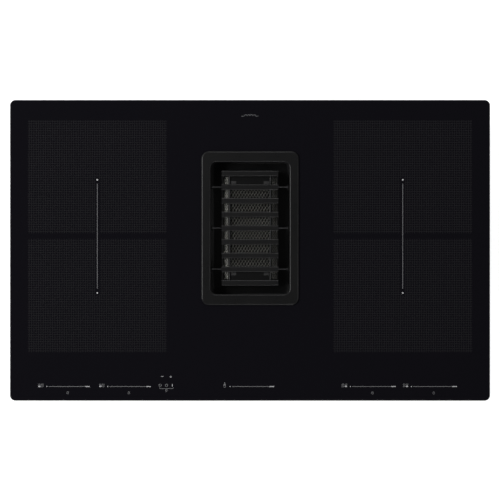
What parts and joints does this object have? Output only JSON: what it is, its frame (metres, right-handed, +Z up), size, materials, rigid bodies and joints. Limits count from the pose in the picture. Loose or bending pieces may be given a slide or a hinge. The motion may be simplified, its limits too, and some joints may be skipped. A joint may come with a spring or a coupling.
{
  "type": "downdraft induction cooktop",
  "caption": "Black glass induction cooktop with a framed extraction mouth, lift-out grille and filter, blower and rear flat-duct outlet below.",
  "frame": {"origin": "centre of the glass, in the plane of the worktop's top face, which is the underside of the rim seal", "axes": "+X to the cook's right along the glass, +Y to the back of the worktop, +Z up"},
  "size_m": [0.83, 0.52, 0.1982],
  "materials": {
    "black_glass": "polished black glass ceramic with fine grey screen print",
    "foam_tape": "matt closed-cell foam",
    "soft_rubber": "matt black rubber",
    "trim_enamel": "satin black powder coat",
    "grille_enamel": "satin black enamel",
    "grille_wire": "dark passivated wire",
    "filter_metal": "expanded metal, dull",
    "cassette_enamel": "matt black coat",
    "well_plastic": "moulded black, fine grain",
    "duct_plastic": "moulded dark grey, fine grain",
    "container_plastic": "moulded grey, slightly glossy",
    "galvanised_sheet": "zinc coated sheet with faint spangle",
    "spring_steel": "bright rolled strip",
    "screw_steel": "zinc plated",
    "cast_aluminium": "die cast, fine blasted",
    "sheet_aluminium": "rolled sheet",
    "litz_copper": "lacquered stranded copper",
    "ferrite": "sintered grey",
    "mica": "pressed mica, faint flakes",
    "board": "green solder mask",
    "capacitor_case": "moulded case",
    "fan_plastic": "moulded black",
    "wheel_plastic": "moulded grey",
    "wheel_metal": "galvanised sheet, lightly dusty",
    "laminations": "stacked laminations with varnished windings",
    "bearing_steel": "ground",
    "terminal_plastic": "moulded white",
    "cover_plastic": "moulded black",
    "lead_sleeve": "black sleeve",
    "pad_foam": "conductive foam"
  },
  "bodies": {
    "root": {"glass_top": "black_glass", "rim_seal": "foam_tape", "vent_bezel": "trim_enamel", "bezel_seal": "soft_rubber", "well_seal": "foam_tape", "duct_seal": "foam_tape", "well_housing": "well_plastic", "inlet_duct": "duct_plastic", "blower_casing_lower": "duct_plastic", "blower_casing_upper": "duct_plastic", "casing_screws": "screw_steel", "inlet_ring": "wheel_plastic", "outlet_flange": "trim_enamel", "hanger_studs": "screw_steel", "rubber_bushes": "soft_rubber", "motor_housing": "cast_aluminium", "motor_bearings": "bearing_steel", "motor_stator": "laminations", "tray": "galvanised_sheet", "tray_brackets": "galvanised_sheet", "tray_screws": "screw_steel", "worktop_clips": "spring_steel", "clip_screws": "screw_steel", "coil_front_left": "litz_copper", "coil_front_right": "litz_copper", "coil_rear_left": "litz_copper", "coil_rear_right": "litz_copper", "mica_sheets": "mica", "temperature_sensors": "screw_steel", "ferrite_bars": "ferrite", "coil_carriers": "sheet_aluminium", "carrier_springs": "spring_steel", "power_boards": "board", "mains_board": "board", "board_posts": "cover_plastic", "heat_sinks": "sheet_aluminium", "capacitors": "capacitor_case", "fan_housings": "fan_plastic", "touch_boards": "board", "touch_carriers": "cover_plastic", "touch_pads": "pad_foam", "terminal_block": "terminal_plastic", "terminal_cover": "cover_plastic", "cable_gland": "cover_plastic", "wire_harness": "lead_sleeve"},
    "cassette": {"cassette_frame": "cassette_enamel", "filter_mesh_centre": "filter_metal", "filter_mesh_sides": "filter_metal", "cassette_clips": "grille_wire"},
    "grille": {"grille_slats": "grille_enamel", "grille_cross_rods": "grille_wire", "grille_wires": "grille_wire"},
    "blower_wheel": {"impeller_backplate": "wheel_metal", "impeller_blades": "wheel_metal", "motor_rotor": "laminations", "motor_shaft": "bearing_steel"},
    "fan_left": {"fan_rotor_left": "fan_plastic"},
    "fan_right": {"fan_rotor_right": "fan_plastic"},
    "container": {"drip_container": "container_plastic", "container_seal": "soft_rubber"}
  },
  "joints": [
    {"name": "cassette_lift", "type": "slide", "parent": "root", "child": "cassette", "axis": [0, 0, 1], "range_m": [0, 0.09]},
    {"name": "grille_lift", "type": "slide", "parent": "cassette", "child": "grille", "axis": [0, 0, 1], "range_m": [0, 0.06]},
    {"name": "impeller_spin", "type": "hinge", "parent": "root", "child": "blower_wheel", "pos_m": [0.205, 0.02, -0.139], "axis": [0, 0, 1], "continuous": true},
    {"name": "fan_spin_left", "type": "hinge", "parent": "root", "child": "fan_left", "pos_m": [-0.264, -0.15, -0.033], "axis": [0, 0, 1], "continuous": true},
    {"name": "fan_spin_right", "type": "hinge", "parent": "root", "child": "fan_right", "pos_m": [0.264, -0.15, -0.033], "axis": [0, 0, 1], "continuous": true},
    {"name": "container_pull", "type": "slide", "parent": "root", "child": "container", "axis": [0, 0, -1], "range_m": [0, 0.045]}
  ]
}
